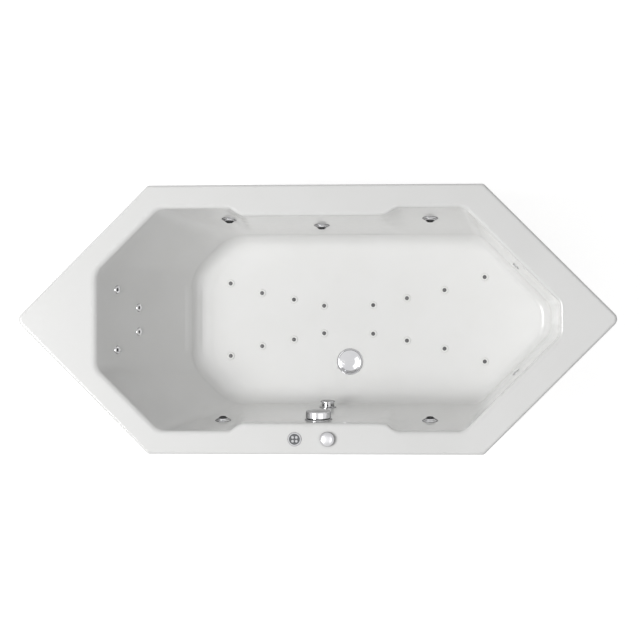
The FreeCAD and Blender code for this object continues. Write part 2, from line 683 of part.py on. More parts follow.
def frame_set():
    board = floor_plate(4.0, board_bottom, board_top)
    holes = [rod(air_stem_radius + 3.0 + glue_gap, Vector(x, y, 0), Vector(x, y, floor_z))
             for x, y in air_spots()]
    holes.append(rod(drain_bore + 6.0, Vector(waste_x, waste_y, 0), Vector(waste_x, waste_y, floor_z)))
    add("base_board", board.cut(holes))
    for turn in (1, -1):
        y0, y1 = sorted((turn * rail_y, turn * (rail_y + tube)))
        rail = square_tube(230.0 - half_length, cross_rail_x[2] + tube / 2, y0, y1, rail_bottom, board_bottom)
        add("long_rails", rail)
    for x in cross_rail_x:
        reach = post_y + post / 2
        add("cross_rails", square_tube(x - tube / 2, x + tube / 2, -reach, reach, cross_bottom, rail_bottom))
    x0 = cross_rail_x[0] + tube / 2
    x1 = cross_rail_x[2] - tube / 2
    add("long_rails", square_tube(-end_reach, x0, -tube / 2, tube / 2, rail_bottom, board_bottom))
    add("long_rails", square_tube(x1, end_reach, -tube / 2, tube / 2, rail_bottom, board_bottom))
    for x, y in post_rows():
        foot = rail_bottom
        upright = square_tube(x - post / 2, x + post / 2, y - post / 2, y + post / 2, foot,
                              deck_under - pad_thickness)
        add("rim_posts", upright)
        add("rim_pads", bar(x - 18, x + 18, y - 16, y + 16, deck_under - pad_thickness, deck_under))
    for x in (-end_reach + 20.0, end_reach - 20.0 - post):
        add("rim_posts", square_tube(x, x + post, -post / 2, post / 2, board_bottom,
                                     deck_under - pad_thickness))
        add("rim_pads", bar(x - 4, x + post + 4, -16, 16, deck_under - pad_thickness, deck_under))
    for x, y, z in foot_spots():
        bolt = Part.makeCylinder(stud_radius, z - foot_pad_height + 2.0, Vector(x, y, foot_pad_height - 2.0))
        flat = stud_radius * 1.75
        ring = [Vector(x + flat * math.cos(k * math.pi / 3), y + flat * math.sin(k * math.pi / 3), z - 8.0)
                for k in range(6)]
        nut = Part.Face(Part.makePolygon(ring + [ring[0]])).extrude(Vector(0, 0, 8.0))
        nut = nut.cut(Part.makeCylinder(stud_radius, 40.0, Vector(x, y, z - 20.0)))
        pad = lathe([(0.0, 0.0), (foot_pad_radius, 0.0), (foot_pad_radius, 4.0),
                     (stud_radius + 4.0, foot_pad_height),
                     (stud_radius, foot_pad_height), (stud_radius, foot_pad_height - 2.0),
                     (0.0, foot_pad_height - 2.0)])
        add("foot_studs", bolt)
        add("foot_studs", nut)
        add("foot_pads", pad.translated(Vector(x, y, 0)))


# ---- machinery under the backrest ----------------------------------------------------------------
def tray_outline(z0, z1):
    ring = [(-930.0, -50.0), (-720.0, -tray_half), (-520.0, -tray_half), (-520.0, tray_half),
            (-720.0, tray_half),
            (-930.0, 50.0)]
    ring = [Vector(1000.0 - half_length + x, y, z0) for x, y in ring]
    return Part.Face(Part.makePolygon(ring + [ring[0]])).extrude(Vector(0, 0, z1 - z0))


def machinery():
    tray_top = board_bottom + 12.0
    tray = tray_outline(board_bottom, tray_top)
    post_x = -end_reach + 20.0
    low, high = board_bottom - 5.0, tray_top + 5.0
    tray = tray.cut(bar(post_x - 1, post_x + post + 1, -post / 2 - 1, post / 2 + 1, low, high))
    tray = tray.cut([rod(air_radius + 1.0, Vector(blower_x, y, low), Vector(blower_x, y, high))
                     for y in (blower_port, -blower_port)])
    add("equipment_tray", tray)
    px, axis_z = 310.0 - half_length, tray_top + 92.0
    saddle = fused([bar(px - 60, px + 60, -60, 110, tray_top, tray_top + 14),
                    bar(px - 50, px + 50, -50, -30, tray_top + 14, axis_z - 55),
                    bar(px - 50, px + 50, 80, 100, tray_top + 14, axis_z - 55)])
    centre = Vector(px, 0, axis_z)

    def along(shape):
        return turned(shape, centre, Vector(0, -1, 0))
    motor = lathe([(0.0, -110.0), (58.0, -110.0), (62.0, -104.0), (62.0, 64.0), (0.0, 64.0)])
    ribs = [bar(-2.0, 2.0, 60.0, 68.0, -96.0, 56.0).rotated(Vector(), Vector(0, 0, 1), 20.0 * k)
            for k in range(18)]
    box = bar(56.0, 90.0, -34.0, 34.0, -60.0, 20.0)
    motor = along(motor.fuse(ribs + [box]))
    add("pump_base", saddle.cut(motor))
    fan = lathe([(0.0, -140.0), (52.0, -140.0), (62.0, -130.0), (62.0, -110.0), (0.0, -110.0)])
    fan = fan.cut([bar(-2.0, 2.0, 12.0, 46.0, -145.0, -135.0).rotated(Vector(), Vector(0, 0, 1), 30.0 * k)
                   for k in range(12)])
    add("pump_motor", motor)
    add("pump_fan_cover", along(fan))
    volute = along(lathe([(0.0, 64.0), (74.0, 64.0), (80.0, 72.0), (80.0, 108.0), (70.0, 118.0),
                          (34.0, 118.0),
                          (34.0, 150.0), (suction_pipe_radius, 150.0), (suction_pipe_radius, 130.0),
                          (0.0, 130.0)]))
    top = axis_z + 108.0
    outlet = rod(pressure_radius + 4.0, Vector(px, -90.0, axis_z + 60), Vector(px, -90.0, top))
    hole = rod(pressure_radius, Vector(px, -90.0, top - 20), Vector(px, -90.0, top + 1))
    add("pump_wet_end", volute.fuse(outlet).cut(hole))
    return px, axis_z, tray_top


def as_rows(points):
    return [(p.x, p.y, p.z) for p in points]


def jet_port(name, along, height, way, reach):
    """End of a port of a side jet and its direction: way is -1 for water, 1 for air."""
    point, axis = wall_spot(name, along, height)
    level = Vector(0, 0, 1).cross(axis).normalize()
    out = axis.cross(level) * way
    return point - axis * (wall + 22.0) + out * (jet_stem_radius + 3.5 + reach), out


def pressure_pipe(px, axis_z):
    """One loop at the height of the backrest's foot, open at the overflow."""
    level = loop_level
    high = level + head_lift
    edge = half_width - loop_in
    slant = half_length - near_loop_in
    far = far_line
    tip = half_length - 155.0
    neck = (px, -90.0, axis_z + 88.0)
    back_end = side_jets[4][1]
    parts = [pipe([neck, (px, -90.0, high)], pressure_radius - glue_gap, 24.0)]
    loop = [(px, -90.0, high), (px, slant + px, high), (edge - slant, edge, level), (far - edge, edge, level),
            (tip, far - tip, level), (tip, tip - far, level), (far - edge, -edge, level),
            (back_end - 14.0, -edge, level)]
    parts.append(pipe(loop, pressure_radius, 40.0))
    branch = [(px, -90.0 + pressure_radius, high), (px, -slant - px, high), (edge - slant, -edge, level),
              (side_jets[3][1] + 14.0, -edge, level)]
    parts.append(pipe(branch, pressure_radius, 40.0))
    for name, along, height in side_jets:
        end, out = jet_port(name, along, height, -1, 2.0)
        tip = end + out * ((end.z - level) / -out.z)
        parts.append(rod(pressure_radius - 4.0 - glue_gap, end, tip))
    add("pressure_pipe", fused(parts))


def micro_hoses(px):
    """Short hoses from the loop to the micro jets, each with its end on the loop's wall."""
    high = loop_level + head_lift
    for point, axis in micro_spots():
        tail = point - axis * (wall + 30.0)
        if point.x > 0:
            flat = Vector(axis.x, axis.y, 0).Length
            out = tail - axis * ((far_line - tail.x - abs(tail.y)) * diag / flat)
            way = [tail, out, Vector(out.x, out.y, loop_level)]
        elif point.z > high + 100.0:
            way = [tail, tail - axis * 20.0, Vector(px - 14.0, point.y, high + 56.0),
                   Vector(px, point.y, high)]
        else:
            way = [tail, tail - axis * 18.0, Vector(px, point.y, high)]
        last = (way[-1] - way[-2]).normalize()
        way[-1] = way[-1] - last * (pressure_radius + glue_gap)
        add("micro_jet_hoses", pipe(as_rows(way), 2.9, 5.0))


def air_line():
    """Thin pipe from the regulator to the air ports of the side jets."""
    level = rim_height - 70.0
    edge = half_width - 62.0
    corner = half_length - 52.0 - edge
    tip = half_length - 148.0
    last = corner + edge - tip
    near = edge + 112.0 - half_length
    head = 190.0 - half_length
    back = edge + head - near
    loop = [(regulator_x, deck_y, rim_height - 30.0), (regulator_x, deck_y, level),
            (regulator_x + 60.0, -edge, level), (corner, -edge, level), (tip, -last, level),
            (tip, last, level),
            (corner, edge, level), (near, edge, level), (head, back, level),
            (head, -back, level), (near, -edge, level), (side_jets[3][1], -edge, level)]
    parts = [pipe(loop, 6.9, 22.0)]
    for name, along, height in side_jets:
        end, out = jet_port(name, along, height, 1, -2.0)
        side = edge if name.endswith("back") else -edge
        parts.append(pipe(as_rows([end, end + out * 24.0]) + [(along, side, level - 28.0),
                                                              (along, side, level)],
                          4.9, 8.0))
    add("air_line", fused(parts))


def suction_run(start, px, axis_z):
    way = [(start.x, start.y, start.z), (px + 270.0, start.y, start.z), (px, -262.0, axis_z),
           (px, -131.0, axis_z)]
    add("suction_pipe", pipe(way, suction_pipe_radius - glue_gap, 44.0))


def air_blower(tray_top):
    """Blower on the tray and the two channels that feed the floor jets."""
    z0 = tray_top
    case = lathe([(0.0, z0), (64.0, z0), (64.0, z0 + 8.0), (58.0, z0 + 12.0), (58.0, z0 + 58.0),
                  (46.0, z0 + 66.0),
                  (46.0, z0 + 110.0), (40.0, z0 + 120.0), (0.0, z0 + 120.0)])
    ports = [Part.makeCylinder(air_radius, 13.0, Vector(0, y, z0 - 1.0)) for y in (blower_port, -blower_port)]
    grill = [bar(-2.0, 2.0, 10.0, 34.0, z0 + 114.0, z0 + 125.0).rotated(Vector(), Vector(0, 0, 1), 30.0 * k)
             for k in range(12)]
    case = case.cut(ports + grill)
    add("air_blower", case.translated(Vector(blower_x, 0, 0)))
    level = air_channel_level()
    for turn in (1, -1):
        way = [(blower_x, turn * blower_port, z0 + 12.0), (blower_x, turn * blower_port, level),
               (blower_x + 270.0, turn * 120.0, level)]
        way += [(x, turn * y, level) for x, y in air_row()]
        way.append((way[-1][0] + 24.0, way[-1][1] + turn * 8.0, level))
        add("air_channels", pipe(way, air_radius - glue_gap, 14.0))


def electrics(tray_top):
    """Control box on the tray with its cable gland, and the lead of the keypad."""
    x0, y0 = 360.0 - half_length, tray_half - 98.0
    z0 = tray_top
    case = bar(x0, x0 + 100.0, y0, y0 + 90.0, z0, z0 + 70.0)
    case = case.makeFillet(4.0, [e for e in case.Edges if abs(e.Vertexes[0].Z - e.Vertexes[1].Z) > 1])
    case = case.cut(bar(x0 + 4, x0 + 96.0, y0 + 4, y0 + 86.0, z0 + 4, z0 + 71.0))
    hole = rod(8.0, Vector(x0 - 10, y0 + 45.0, z0 + 30.0), Vector(x0 + 10, y0 + 45.0, z0 + 30.0))
    add("control_box", case.cut(hole))
    lid = bar(x0 - 2, x0 + 102.0, y0 - 2, y0 + 92.0, z0 + 70.0, z0 + 76.0)
    add("control_lid", lid)
    gland = turned(lathe([(4.0, -4.0), (8.0 - glue_gap, -4.0), (8.0 - glue_gap, 4.0), (12.0, 4.0),
                          (12.0, 12.0),
                          (9.0, 18.0), (4.0, 18.0)]), Vector(x0, y0 + 45.0, z0 + 30.0), Vector(-1, 0, 0))
    add("cable_gland", gland)


def save():
    os.makedirs("parts", exist_ok=True)
    for name, solids in nodes.items():
        Part.makeCompound(solids).exportStep("parts/%s.step" % name)


def build():
    add("tub_shell", tub_shell())
    side_jet_set()
    micro_jet_set()
    air_jet_set()
    waste_set()
    overflow_set()
    start = suction_set()
    keypad_set()
    regulator_set()
    frame_set()
    px, axis_z, tray_top = machinery()
    pressure_pipe(px, axis_z)
    micro_hoses(px)
    air_line()
    suction_run(start, px, axis_z)
    air_blower(tray_top)
    electrics(tray_top)
    save()


build()
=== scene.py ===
import math
import json
import bpy
import bmesh
from mathutils import Vector, Matrix


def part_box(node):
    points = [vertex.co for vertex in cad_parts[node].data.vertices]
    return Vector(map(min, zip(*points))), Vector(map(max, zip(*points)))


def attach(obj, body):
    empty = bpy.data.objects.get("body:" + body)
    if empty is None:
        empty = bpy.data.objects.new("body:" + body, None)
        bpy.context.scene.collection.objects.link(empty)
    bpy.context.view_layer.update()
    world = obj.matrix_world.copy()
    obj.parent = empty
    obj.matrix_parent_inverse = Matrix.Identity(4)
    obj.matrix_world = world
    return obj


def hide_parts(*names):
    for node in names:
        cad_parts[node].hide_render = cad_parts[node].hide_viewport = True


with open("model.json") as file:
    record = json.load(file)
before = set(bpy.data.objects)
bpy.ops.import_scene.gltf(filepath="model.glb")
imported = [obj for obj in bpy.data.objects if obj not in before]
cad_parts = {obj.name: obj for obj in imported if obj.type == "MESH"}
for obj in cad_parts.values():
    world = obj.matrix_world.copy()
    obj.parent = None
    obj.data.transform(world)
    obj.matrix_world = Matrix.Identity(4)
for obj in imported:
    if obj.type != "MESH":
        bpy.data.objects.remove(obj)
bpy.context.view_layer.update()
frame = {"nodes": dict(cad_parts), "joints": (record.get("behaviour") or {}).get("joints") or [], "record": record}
print("frame loaded:", len(frame["nodes"]), "nodes")


# one closed mesh from loops that all have the same number of points, with a cap at each end
def meshFromLoops(name, loops):
    mesh = bpy.data.meshes.new(name)
    bm = bmesh.new()
    rows = [[bm.verts.new(p) for p in loop] for loop in loops]
    count = len(rows[0])
    for low, high in zip(rows, rows[1:]):
        for i in range(count):
            j = (i + 1) % count
            bm.faces.new((low[i], low[j], high[j], high[i]))
    bm.faces.new(list(reversed(rows[0])))
    bm.faces.new(rows[-1])
    bmesh.ops.recalc_face_normals(bm, faces=bm.faces)
    for face in bm.faces:
        face.smooth = True
    bm.to_mesh(mesh)
    bm.free()
    obj = bpy.data.objects.new(name, mesh)
    bpy.context.collection.objects.link(obj)
    return obj


# camera at the photo's angle, far off with a long lens
cameraSetup = {"lens": 140.6, "place": (0.6835, -0.0026, 8.8752), "turn": (0.0, 4.601, -0.0765)}


def makeCamera(setup):
    data = bpy.data.cameras.new("photoCamera")
    data.lens = setup["lens"]
    data.sensor_width = 36.0
    data.clip_end = 60.0
    cam = bpy.data.objects.new("photoCamera", data)
    bpy.context.collection.objects.link(cam)
    cam.location = setup["place"]
    cam.rotation_euler = [math.radians(a) for a in setup["turn"]]
    bpy.context.scene.camera = cam


makeCamera(cameraSetup)

# the bath's shell, from loops of points that follow the basin's walls and the outer edge
shellSetup = {
    "halfLength": 0.9999, "halfWidth": 0.45, "rimHeight": 0.6, "floorHeight": 0.15, "wall": 0.007,
    "skirt": 0.04, "edgeRound": 0.010, "lipRound": 0.012,
    # the cove between floor and wall: its rise, the angle it ends at and its number of steps
    "coveRise": 0.046, "coveAngle": math.radians(78), "coveCount": 16,
    "apexRound": 0.026, "sideRound": 0.014,
    # plan radius of the basin's corners: at the rim and how much larger at the floor
    "headRound": (0.046, 0.110), "footRound": (0.046, 0.034),
    # each wall: distance from the middle at the rim, above the cove and at the floor
    "foot": (0.811, 0.785, 0.752), "far": (0.613, 0.590, 0.561), "side": (0.372, 0.295, 0.238),
    "near": (0.636, 0.446, 0.371), "head": (0.739, 0.467, 0.392),
    # armrests: how far they stand in at the rim, where they end and the length of their slanted ends
    "armIn": 0.027, "armHead": -0.285, "armFoot": 0.270, "armSlant": 0.036, "armSoft": 0.25, "armBeyond": 0.2,
    # low ledge at the foot of the backrest: half width, heights and how far it stands out
    "ledgeHalf": 0.104, "ledgeLow": 0.163, "ledgeHigh": 0.214, "ledgeOut": 0.0028,
    # the widths over which the ledge fades at its sides, below and above, and where the backrest begins
    "ledgeSides": (0.006, 0.010), "ledgeEnds": (0.003, 0.005), "backrestStart": -0.3,
    "wasteHole": (0.087, -0.147, 0.0315),
    # how finely the outline and the walls are cut up, and the flat strip left beside each rounded edge
    "cornerSteps": 8, "sidePoints": 44, "endPoints": 14, "slantPoints": 12, "wallLevels": 14,
    "flatStrip": 0.004, "footStep": 0.006, "floorShares": (0.15, 0.3, 0.45, 0.6, 0.75, 0.88, 0.965),
    # how the skirt leans out on its way down: drop below the rim and distance from the full outline
    "skirtLean": ((0.016, 0.0007), (0.024, 0.0004), (0.032, 0.0002), (0.0385, 0.0)),
    # the share of an edge over which its points spread towards a corner
    "edgeSpread": 0.3,
}


# where two lines meet, each given by its direction of offset and its distance from the middle
def meetLines(dirA, offA, dirB, offB):
    det = dirA[0] * dirB[1] - dirA[1] * dirB[0]
    return ((offA * dirB[1] - dirA[1] * offB) / det, (dirA[0] * offB - offA * dirB[0]) / det)


def smoothStep(value, low, high):
    share = max(0.0, min(1.0, (value - low) / (high - low)))
    return share * share * (3 - 2 * share)


# an outline with rounded corners; counts holds the number of points between a corner and the next one
def roundedLoop(points, radii, steps, counts, z):
    total = len(points)
    spots = [Vector(p) for p in points]
    reaches = []
    for i in range(total):
        before = spots[i - 1] - spots[i]
        after = spots[(i + 1) % total] - spots[i]
        turn = math.pi - before.angle(after)
        room = 0.47 * min(before.length, after.length)
        reaches.append((min(radii[i] * math.tan(turn / 2), room), turn))
    arcs = []
    for i in range(total):
        reach, turn = reaches[i]
        start = spots[i] + (spots[i - 1] - spots[i]).normalized() * reach
        end = spots[i] + (spots[(i + 1) % total] - spots[i]).normalized() * reach
        arc = []
        for k in range(steps + 1):
            s = k / steps
            # an arc of a circle written as a rational curve
            w = math.cos(turn / 2)
            a, b, c = (1 - s) ** 2, 2 * s * (1 - s) * w, s * s
            arc.append((start * a + spots[i] * b + end * c) / (a + b + c))
        arcs.append(arc)
    loop = []
    for i in range(total):
        loop += arcs[i]
        a, b = arcs[i][-1], arcs[(i + 1) % total][0]
        loop += [a.lerp(b, k / (counts[i] + 1)) for k in range(1, counts[i] + 1)]
    return [Vector((p.x, p.y, z)) for p in loop]


# the basin's outline at one height, made larger by grow (the outside of the wall) and out (the rim's lip)
def basinLoop(setup, z, grow=0.0, out=0.0, lift=0.0):
    s = setup
    footZ = s["floorHeight"] + s["coveRise"]
    depth = 1 - max(0.0, min(1.0, (z - s["floorHeight"]) / (s["rimHeight"] - s["floorHeight"])))
    offsets = {}
    for name in ("foot", "far", "side", "near", "head"):
        rim, foot, floor = s[name]
        if z >= footZ:
            offsets[name] = foot + (rim - foot) * (z - footZ) / (s["rimHeight"] - footZ)
        else:
            turn = math.acos(1 - (z - s["floorHeight"]) / s["coveRise"] * (1 - math.cos(s["coveAngle"])))
            offsets[name] = floor + (foot - floor) * math.sin(turn) / math.sin(s["coveAngle"])
        offsets[name] += grow + out
    d = math.sqrt(0.5)
    ring = [("foot", (1, 0)), ("far", (d, d)), ("side", (0, 1)), ("near", (-d, d)), ("head", (-1, 0)),
            ("near", (-d, -d)), ("side", (0, -1)), ("far", (d, -d))]
    corners = []
    for (name, way), (nextName, nextWay) in zip(ring, ring[1:] + ring[:1]):
        corners.append(meetLines(way, offsets[name], nextWay, offsets[nextName]))
    headRound = s["headRound"][0] + s["headRound"][1] * depth ** 0.7 + grow + out
    footRound = s["footRound"][0] + s["footRound"][1] * depth + grow + out
    radii = [footRound, footRound, headRound, headRound, headRound, headRound, footRound, footRound]
    counts = [s["slantPoints"], s["sidePoints"], s["slantPoints"], s["endPoints"]] * 2
    loop = roundedLoop(corners, radii, s["cornerSteps"], counts, z + lift)
    share = max(0.0, min(1.0, (z - footZ) / (s["rimHeight"] - footZ)))
    for p in loop:
        # the armrests stand in from the two long walls and fade out towards the floor
        near = max(0.0, min(1.0, (p.x - s["armHead"]) / s["armSlant"]))
        far = max(0.0, min(1.0, (s["armFoot"] - p.x) / s["armSlant"]))
        shelf = min(near, far)
        soft = s["armSoft"] * (1 - share)
        shelf = shelf * (1 - soft) + soft * shelf * shelf * (3 - 2 * shelf)
        if abs(p.y) > s["armBeyond"]:
            p.y -= math.copysign(s["armIn"] * share * shelf, p.y)
        if p.x < s["backrestStart"] and grow == 0.0:
            inner, outer = s["ledgeHalf"] - s["ledgeSides"][0], s["ledgeHalf"] + s["ledgeSides"][1]
            flat = 1 - smoothStep(abs(p.y), inner, outer)
            rise = smoothStep(z, s["ledgeLow"] - s["ledgeEnds"][0], s["ledgeLow"])
            fall = 1 - smoothStep(z, s["ledgeHigh"], s["ledgeHigh"] + s["ledgeEnds"][1])
            p.x += s["ledgeOut"] * flat * rise * fall
    return loop


# the six-sided outer outline, with a point for each point of the basin's outline
def hexLoop(setup, inset, z, guide):
    s = setup
    half = s["halfWidth"] - inset
    tip = s["halfLength"] + s["apexRound"] * (math.sqrt(2) - 1) - inset * math.sqrt(2)
    corners = [(tip, 0), (tip - half, half), (half - tip, half),
               (-tip, 0), (half - tip, -half), (tip - half, -half)]
    apex, corner = max(0.006, s["apexRound"] - inset), max(0.004, s["sideRound"] - inset)
    steps = s["cornerSteps"]
    coarse = roundedLoop(corners, [apex, corner, corner, apex, corner, corner], steps, [0] * 6, z)
    groups = [coarse[i * (steps + 1):(i + 1) * (steps + 1)] for i in range(6)]
    count = len(guide)
    angles = [math.atan2(p.y, p.x) % (2 * math.pi) for p in guide]
    loop = [None] * count
    marks = []
    for group, (cx, cy) in zip(groups, corners):
        want = math.atan2(cy, cx) % (2 * math.pi)
        gaps = [abs((angle - want + math.pi) % (2 * math.pi) - math.pi) for angle in angles]
        best = gaps.index(min(gaps))
        first = best - steps // 2
        marks.append(first)
        for k, p in enumerate(group):
            loop[(first + k) % count] = p
    for i in range(6):
        last, following = marks[i] + steps, marks[(i + 1) % 6]
        while following <= last:
            following += count
        a, b = loop[last % count], loop[following % count]
        way = (b - a).normalized()
        length = (b - a).length
        # points along an edge stand straight out from the basin's points and spread only near its two ends
        start = (guide[last % count] - a).dot(way)
        end = (guide[following % count] - a).dot(way)
        reach = s["edgeSpread"] * (end - start)
        for k in range(last + 1, following):
            along = (guide[k % count] - a).dot(way)
            first = max(0.0, 1 - (along - start) / reach)
            final = max(0.0, 1 - (end - along) / reach)
            spot = along - start * first * first + (length - end) * final * final
            loop[k % count] = a + way * spot
    return loop


# inside of the basin from the floor up, then the deck and the skirt, then the underside back to the floor
def makeShell(setup):
    s = setup
    rim, floor, wall = s["rimHeight"], s["floorHeight"], s["wall"]
    footZ = floor + s["coveRise"]
    full, coveCount = s["coveAngle"], s["coveCount"]
    cove = [floor + s["coveRise"] * (1 - math.cos(full * k / coveCount)) / (1 - math.cos(full))
            for k in range(coveCount + 1)]
    inside = []
    flat = basinLoop(s, floor)
    middle = Vector((sum(p.x for p in flat) / len(flat), 0, floor))
    for share in s["floorShares"]:
        inside.append([middle.lerp(p, share) for p in flat])
    inside += [basinLoop(s, z) for z in cove]
    top = rim - s["lipRound"]
    levels = [footZ + s["footStep"] * k for k in range(1, 6)]
    foot, count = levels[-1], s["wallLevels"]
    levels += [foot + (top - foot) * k / count for k in range(1, count + 1)]
    inside += [basinLoop(s, z) for z in levels]
    for k in range(1, 9):
        turn = math.radians(90) * k / 8
        level, out = top + s["lipRound"] * math.sin(turn), s["lipRound"] * (1 - math.cos(turn))
        inside.append(basinLoop(s, level, 0, out))
    guide = basinLoop(s, rim, 0, s["lipRound"] + s["flatStrip"])
    outside = [guide]
    r = s["edgeRound"]
    outer = hexLoop(s, r + s["flatStrip"], rim, guide)
    outside += [[a.lerp(b, k / 4) for a, b in zip(guide, outer)] for k in range(1, 4)]
    outside.append(outer)
    for k in range(0, 8):
        turn = math.radians(90) * k / 7
        outside.append(hexLoop(s, r - r * math.sin(turn) * 0.9, rim - r * (1 - math.cos(turn)), guide))
    for drop, inset in s["skirtLean"]:
        outside.append(hexLoop(s, inset, rim - drop, guide))
    outside.append(hexLoop(s, 0.0012, rim - s["skirt"], guide))
    outside.append(hexLoop(s, wall - 0.001, rim - s["skirt"], guide))
    outside.append(hexLoop(s, wall, rim - s["skirt"] + 0.002, guide))
    outside.append(hexLoop(s, wall + 0.001, rim - wall - 0.004, guide))
    outside.append(hexLoop(s, wall + 0.005, rim - wall, guide))
    under = [basinLoop(s, rim - wall, wall, 0.006), basinLoop(s, rim - wall - 0.005, wall, 0.0)]
    for z in reversed(levels[::2]):
        under.append(basinLoop(s, z, wall))
    for k in range(coveCount, -1, -2):
        under.append(basinLoop(s, cove[k], wall, 0, -wall * (1 - k / coveCount)))
    base = under[-1]
    low = Vector((middle.x, 0, floor - wall))
    for share in (0.965, 0.6, 0.2):
        under.append([low.lerp(p, share) for p in base])
    obj = meshFromLoops("bathShell", inside + outside + under)
    hidden = (len(inside) + len(outside) - 1) * len(guide)
    for place in ("acrylic", "backing"):
        obj.data.materials.append(bpy.data.materials.new(place))
    last = hidden + len(under) * len(guide)
    for face in obj.data.polygons:
        # the caps come last, and only the lower one belongs to the underside
        below = hidden <= face.index < last or face.center.z < floor - wall / 2
        face.material_index = 1 if below else 0
    drillHole(obj, s["wasteHole"], floor)
    return obj


# the waste passes through the floor
def drillHole(obj, hole, level):
    x, y, radius = hole
    bm = bmesh.new()
    bmesh.ops.create_cone(bm, cap_ends=True, segments=72, radius1=radius, radius2=radius, depth=0.06,
                          matrix=Matrix.Translation((x, y, level)))
    mesh = bpy.data.meshes.new("cutter")
    bm.to_mesh(mesh)
    bm.free()
    cutter = bpy.data.objects.new("cutter", mesh)
    bpy.context.collection.objects.link(cutter)
    cut = obj.modifiers.new("wasteHole", "BOOLEAN")
    cut.operation = "DIFFERENCE"
    cut.solver = "EXACT"
    cut.object = cutter
    bpy.context.view_layer.update()
    done = bpy.data.meshes.new_from_object(obj.evaluated_get(bpy.context.evaluated_depsgraph_get()))
    obj.modifiers.clear()
    obj.data = done
    bpy.data.objects.remove(cutter)
    for face in done.polygons:
        face.use_smooth = True


shell = makeShell(shellSetup)
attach(shell, "root")
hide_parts("tub_shell")
print("shell made")


# a turned ring about an axis, from a closed profile of (radius, distance along the axis)
def makeRing(name, profile, centre, axis, steps, look, body):
    turn = Vector(axis).to_track_quat("Z", "Y").to_matrix()
    loops = []
    for k in range(steps):
        angle = 2 * math.pi * k / steps
        loops.append([Vector(centre) + turn @ Vector((r * math.cos(angle), r * math.sin(angle), z))
                      for r, z in profile])
    verts = [p for loop in loops for p in loop]
    count = len(profile)
    faces = []
    for k in range(steps):
        for i in range(count):
            a, b = k * count + i, k * count + (i + 1) % count
            c, d = ((k + 1) % steps) * count + (i + 1) % count, ((k + 1) % steps) * count + i
            faces.append((a, b, c, d))
    mesh = bpy.data.meshes.new(name)
    mesh.from_pydata(verts, [], faces)
    bm = bmesh.new()
    bm.from_mesh(mesh)
    bmesh.ops.recalc_face_normals(bm, faces=bm.faces)
    bm.to_mesh(mesh)
    bm.free()
    ring = bpy.data.objects.new(name, mesh)
    bpy.context.collection.objects.link(ring)
    mesh.set_sharp_from_angle(angle=math.radians(35))
    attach(ring, body)
    dressed.append((ring, look))


dressed = []
jointOf = {row["name"]: row for row in frame["joints"]}

# painted shade as black rings: a black throat round each side jet's nozzle stands in for the shade in its recess,
# and a black ring at the edge of its flange stands in for the flange's shadow
jetSetup = {"count": 5, "steps": 64, "throatOuter": 0.0158, "throatInner": 0.01045, "throatLow": 0.0083,
            "throatHigh": 0.0124, "shadeRingInner": 0.0255, "shadeRingOuter": 0.0268, "shadeRingHigh": 0.0009}


def dressJets(setup):
    s = setup
    throat = [(s["throatInner"], s["throatLow"] + 0.0008), (s["throatOuter"], s["throatLow"]),
              (s["throatOuter"] - 0.0004, s["throatLow"] + 0.0006),
              (s["throatInner"] + 0.0007, s["throatHigh"]), (s["throatInner"], s["throatHigh"] - 0.0003)]
    shadeRing = [(s["shadeRingInner"], 0.0), (s["shadeRingOuter"], 0.0), (s["shadeRingOuter"], s["shadeRingHigh"] * 0.6),
            (s["shadeRingOuter"] - 0.0004, s["shadeRingHigh"]), (s["shadeRingInner"], s["shadeRingHigh"])]
    for k in range(1, s["count"] + 1):
        joint = jointOf["jet_%d_turn" % k]
        centre, axis = joint["pos_m"], joint["axis"]
        # painted shade: black ring in the nozzle's recess
        makeRing("jetThroatShade_%d" % k, throat, centre, axis, s["steps"], "dark_plastic", "jet_ring_%d" % k)
        # painted shadow: black ring at the flange's edge
        makeRing("jetShadowRing_%d" % k, shadeRing, centre, axis, s["steps"], "rubber", "root")


dressJets(jetSetup)
print("side jets dressed")

# painted shadow: a thin black ring round the keypad and the air regulator on the deck, standing in for the shadow
# gap round each
deckShadeRings = {"nodes": ("keypad_bezel", "regulator_base"), "out": 0.0007, "under": 0.0012, "high": 0.0007,
             "steps": 72}


def shadeDeckFittings(setup):
    s = setup
    for node in s["nodes"]:
        low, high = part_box(node)
        radius = (high.x - low.x) / 2
        middle = ((low.x + high.x) / 2, (low.y + high.y) / 2, shellSetup["rimHeight"])
        shadeRing = [(radius - s["under"], 0.0), (radius + s["out"], 0.0), (radius + s["out"], s["high"] * 0.6),
                (radius, s["high"]), (radius - s["under"], s["high"])]
        # painted shadow: black ring at the fitting's foot
        makeRing(node + "_shadeRing", shadeRing, middle, (0, 0, 1), s["steps"], "rubber", "root")


shadeDeckFittings(deckShadeRings)
print("deck shade rings made")


# shared effects, as shader groups
def newGroup(name, inputs, outputs):
    group = bpy.data.node_groups.new(name, "ShaderNodeTree")
    for label, kind, value in inputs:
        socket = group.interface.new_socket(name=label, in_out="INPUT", socket_type=kind)
        socket.default_value = value
    for label, kind in outputs:
        group.interface.new_socket(name=label, in_out="OUTPUT", socket_type=kind)
    return group, group.nodes.new("NodeGroupInput"), group.nodes.new("NodeGroupOutput")


